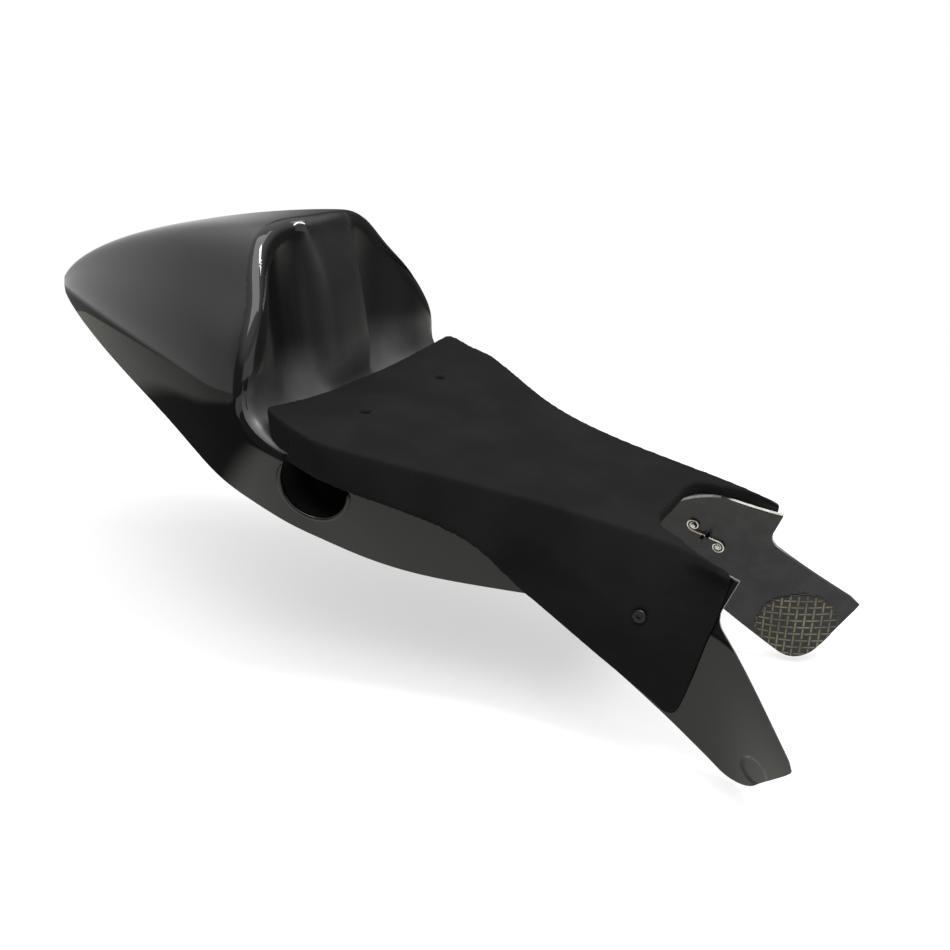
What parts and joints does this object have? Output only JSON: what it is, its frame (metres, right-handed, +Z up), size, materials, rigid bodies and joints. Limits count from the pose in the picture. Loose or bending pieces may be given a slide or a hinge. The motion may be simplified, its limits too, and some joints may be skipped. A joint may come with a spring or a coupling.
{
  "type": "race seat unit",
  "caption": "Race seat unit for a motorbike: glossy black moulded tail hump, pan and leg wings in one shell, with a thick foam seat pad and quarter-turn panel studs.",
  "frame": {"origin": "midway between the two seat-bolt holes, on top of the seat pan", "axes": "+X points forward towards the tank, +Y to the rider's left, +Z up as mounted on the bike"},
  "size_m": [0.8983, 0.3114, 0.3982],
  "materials": {
    "gloss_black_laminate": "glossy black gelcoat over glass laminate",
    "charcoal_foam": "matt closed-cell foam",
    "steel": "dull plated steel",
    "spring_wire": "bright spring wire",
    "rivet_alloy": "plain aluminium",
    "woven_cloth": "black and straw-coloured basket weave in resin"
  },
  "bodies": {
    "seat": {"seat_shell": "gloss_black_laminate", "seat_pad": "charcoal_foam", "spring_right": "spring_wire", "spring_left": "spring_wire", "rivets_right": "rivet_alloy", "rivets_left": "rivet_alloy", "patch_right": "woven_cloth", "patch_left": "woven_cloth"},
    "stud_right": {"stud_right": "steel"},
    "stud_left": {"stud_left": "steel"}
  },
  "joints": [
    {"name": "stud_right_turn", "type": "hinge", "parent": "seat", "child": "stud_right", "pos_m": [0.285, -0.0837, -0.105], "axis": [0.0794, -0.9741, 0.2118], "range_deg": [0, 90]},
    {"name": "stud_left_turn", "type": "hinge", "parent": "seat", "child": "stud_left", "pos_m": [0.285, 0.0837, -0.105], "axis": [-0.0794, -0.9741, -0.2118], "range_deg": [0, 90]}
  ]
}
